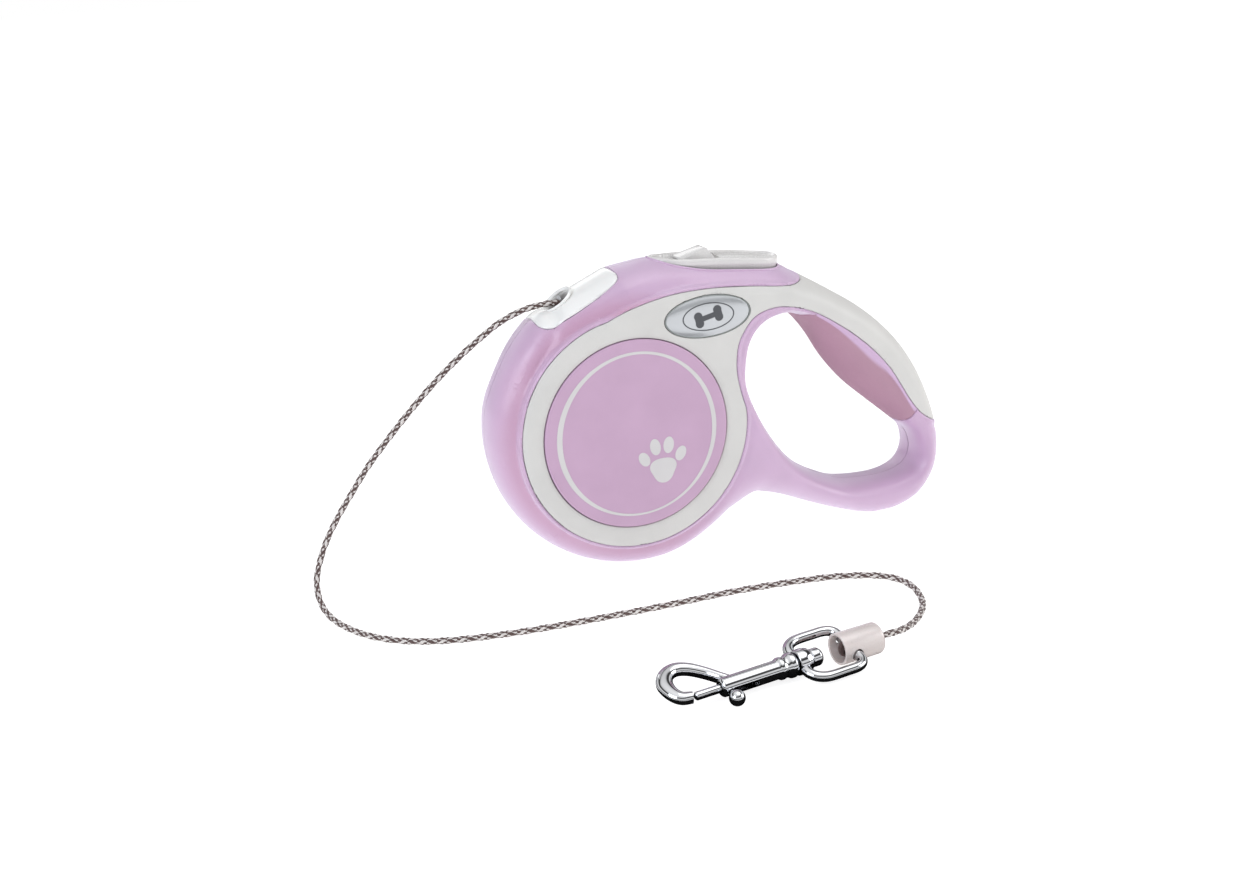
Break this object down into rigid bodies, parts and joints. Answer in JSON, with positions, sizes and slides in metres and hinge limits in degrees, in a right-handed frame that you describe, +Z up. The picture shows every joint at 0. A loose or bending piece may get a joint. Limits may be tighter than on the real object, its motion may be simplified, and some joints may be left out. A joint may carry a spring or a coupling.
{
  "type": "retractable leash",
  "caption": "Retractable cord leash with a closed-loop handle, thumb brake and lock, return reel, and a braided cord with a swivelling snap hook.",
  "frame": {"origin": "under the middle of the housing, on the surface it stands on", "axes": "+X from the reel drum to the handle, +Z up, the left side faces -Y; the cord and the hook lie on the surface in front of the left side"},
  "size_m": [0.2006, 0.1244, 0.0936],
  "materials": {
    "lilac_shell": "fine satin grain",
    "label": null,
    "white_panel": "satin",
    "badge": "silvered dome under clear resin",
    "white_gloss": "polished",
    "soft_grip": "soft touch",
    "black_plastic": "moulded",
    "steel": "bright",
    "cord": "braided in brown and white",
    "sleeve": "satin",
    "chrome": "polished"
  },
  "bodies": {
    "housing": {"left_shell": "lilac_shell", "right_shell": "lilac_shell", "left_trim": "white_panel", "right_trim": "white_panel", "left_label": "label", "right_label": "label", "left_badge": "badge", "right_badge": "badge", "nozzle": "white_gloss", "grip_pad": "soft_grip", "spring_arbor": "steel", "left_washer": "steel", "right_washer": "steel", "cord_inner_run": "cord", "screw_1": "steel", "screw_2": "steel", "screw_3": "steel", "screw_4": "steel", "button_spring": "steel", "free_cord": "cord", "cord_loop": "cord", "cord_sleeve": "sleeve"},
    "reel": {"reel": "black_plastic", "reel_cover": "black_plastic", "mainspring": "steel", "cord_winding": "cord"},
    "brake": {"brake_button": "white_gloss", "brake_pawl": "black_plastic"},
    "lock": {"lock_tab": "white_gloss"},
    "ring": {"swivel_ring": "chrome"},
    "hook": {"hook_body": "chrome", "swivel_rivet": "chrome", "bolt_spring": "steel"},
    "bolt": {"hook_bolt": "chrome", "bolt_knob": "chrome"}
  },
  "joints": [
    {"name": "reel_spin", "type": "hinge", "parent": "housing", "child": "reel", "pos_m": [-0.0323, 0, 0.0437], "axis": [0, 1, 0], "continuous": true},
    {"name": "brake_press", "type": "slide", "parent": "housing", "child": "brake", "axis": [-0.1392, 0, -0.9903], "range_m": [0, 0.0035], "stiffness_N_per_m": 400, "springref_m": -0.002, "deforming": ["button_spring"]},
    {"name": "lock_slide", "type": "slide", "parent": "brake", "child": "lock", "axis": [-0.9903, 0, 0.1392], "range_m": [0, 0.004]},
    {"name": "ring_tilt", "type": "hinge", "parent": "housing", "child": "ring", "pos_m": [-0.00771, -0.09742, 0.00425], "axis": [-0.1344, 0.9565, 0.2588], "range_deg": [-90, 90]},
    {"name": "hook_swivel", "type": "hinge", "parent": "ring", "child": "hook", "pos_m": [-0.02238, -0.0994, 0.00395], "axis": [-0.9908, -0.1338, -0.0202], "continuous": true},
    {"name": "bolt_slide", "type": "slide", "parent": "hook", "child": "bolt", "axis": [0.9908, 0.1338, 0.0202], "range_m": [0, 0.007], "stiffness_N_per_m": 150, "springref_m": -0.003, "deforming": ["bolt_spring"]}
  ]
}
